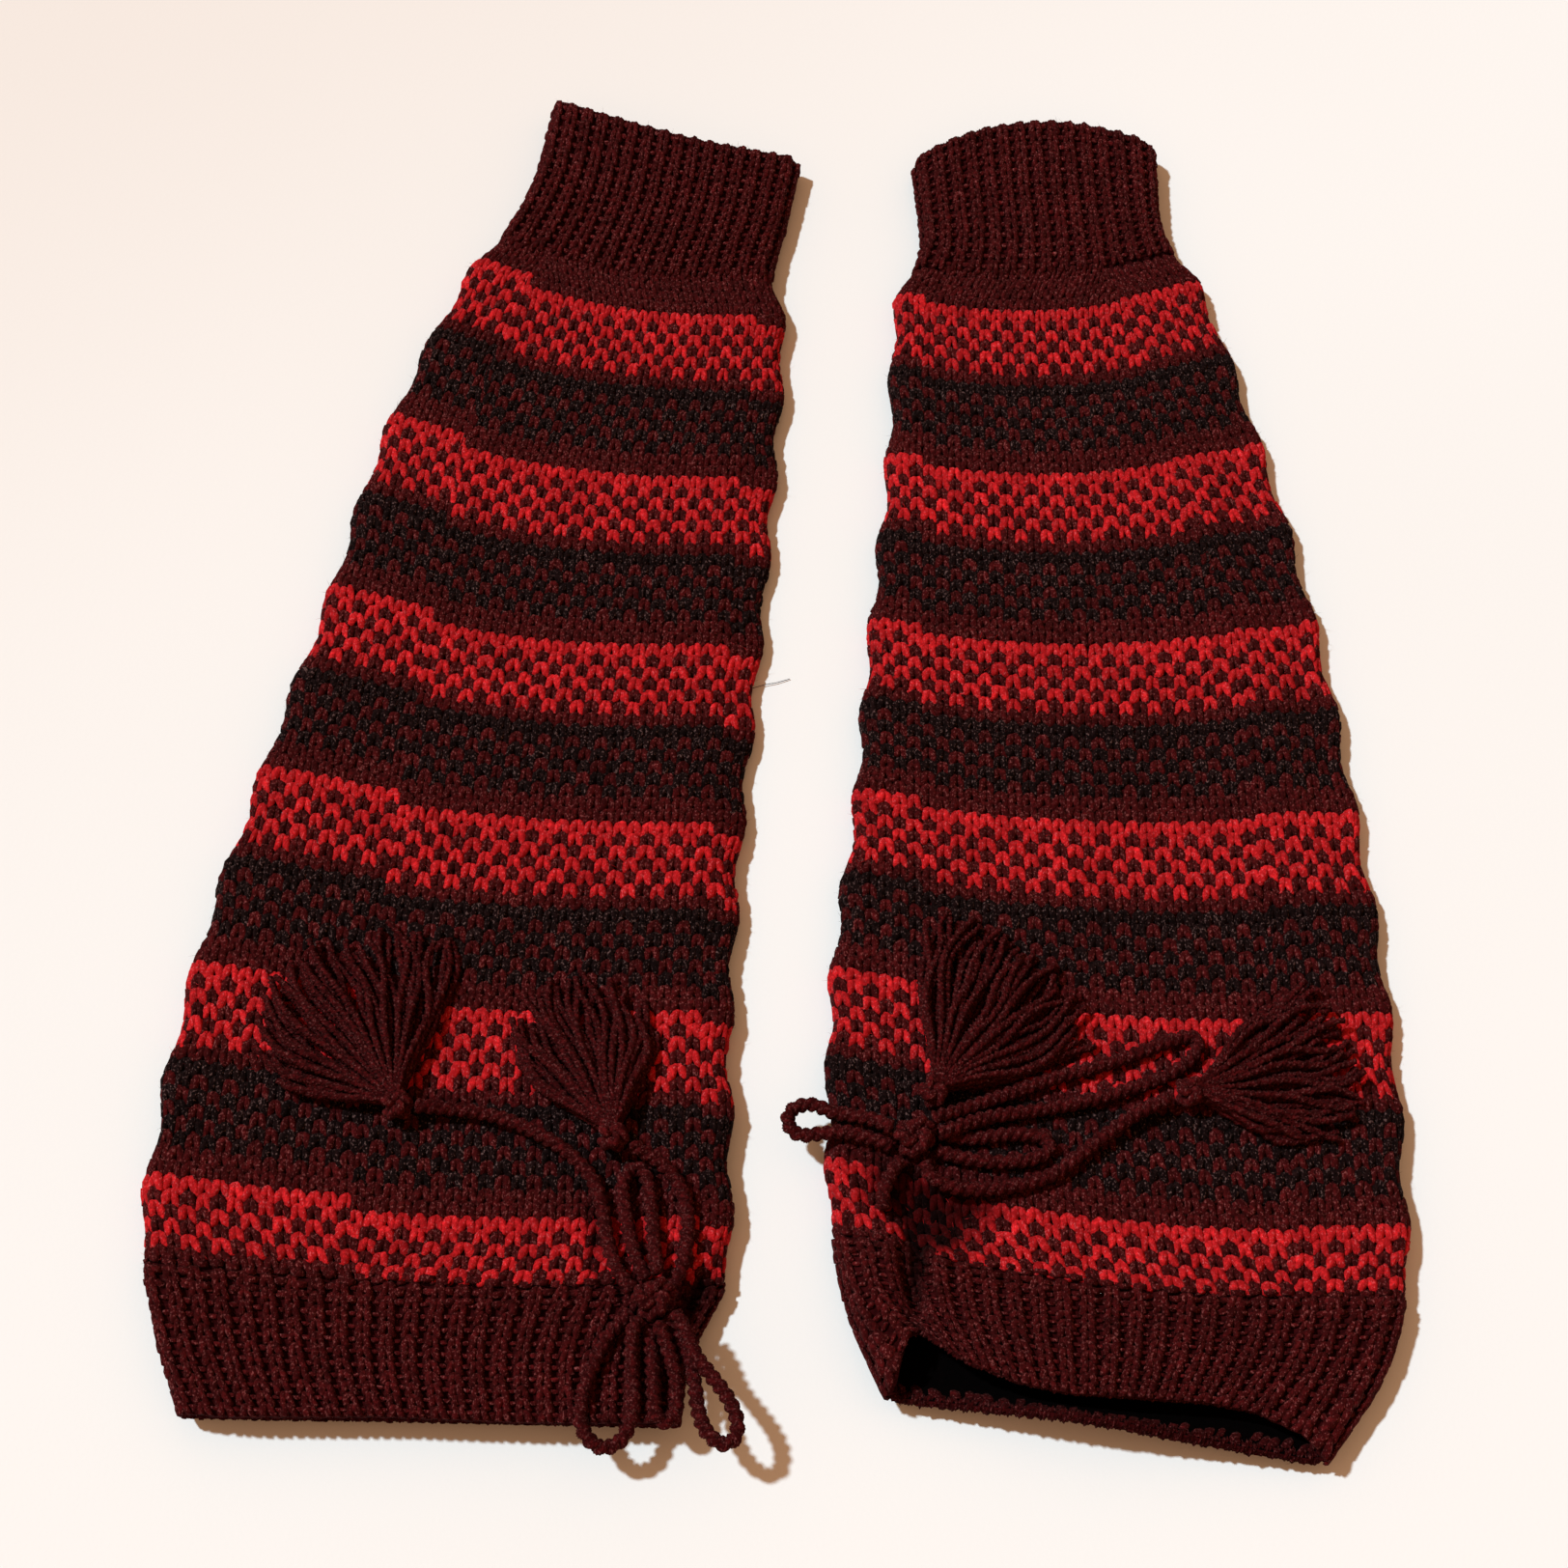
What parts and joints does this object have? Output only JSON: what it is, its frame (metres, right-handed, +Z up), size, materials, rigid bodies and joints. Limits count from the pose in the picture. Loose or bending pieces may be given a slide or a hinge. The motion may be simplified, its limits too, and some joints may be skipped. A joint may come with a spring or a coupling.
{
  "type": "knitted leg warmers",
  "caption": "Pair of knitted leg warmers laid flat: ribbed cuffs, stripes and checks in knit, and a drawstring tied in a bow with tassels near each knee.",
  "frame": {"origin": "on the surface that the pair lies on, in the middle of the knitted cloth's box, cords not counted", "axes": "+X to the wearer's right leg warmer in the picture, +Y along the legs towards the ankle cuffs, +Z up from the surface"},
  "size_m": [0.3346, 0.4518, 0.02],
  "materials": {
    "striped_knit": "soft matte wool, knitted in maroon with bands of red and black checks",
    "ribbed_knit": "soft matte wool rib in plain maroon",
    "wool_cord": "twisted matte wool yarn in plain maroon"
  },
  "bodies": {
    "root": {"left_ankle_rib": "ribbed_knit", "left_front_panel": "striped_knit", "left_back_panel": "striped_knit", "left_knee_rib": "ribbed_knit", "right_ankle_rib": "ribbed_knit", "right_front_panel": "striped_knit", "right_back_panel": "striped_knit", "right_knee_rib": "ribbed_knit", "left_bow_knot": "wool_cord", "left_loop_1": "wool_cord", "left_loop_2": "wool_cord", "left_loop_3": "wool_cord", "left_loop_4": "wool_cord", "left_end_a": "wool_cord", "left_end_b": "wool_cord", "left_tassel_a": "wool_cord", "left_tassel_b": "wool_cord", "right_bow_knot": "wool_cord", "right_loop_1": "wool_cord", "right_loop_2": "wool_cord", "right_loop_3": "wool_cord", "right_end_d": "wool_cord", "right_drawstring": "wool_cord", "right_tassel_c": "wool_cord", "right_tassel_d": "wool_cord"}
  },
  "joints": []
}
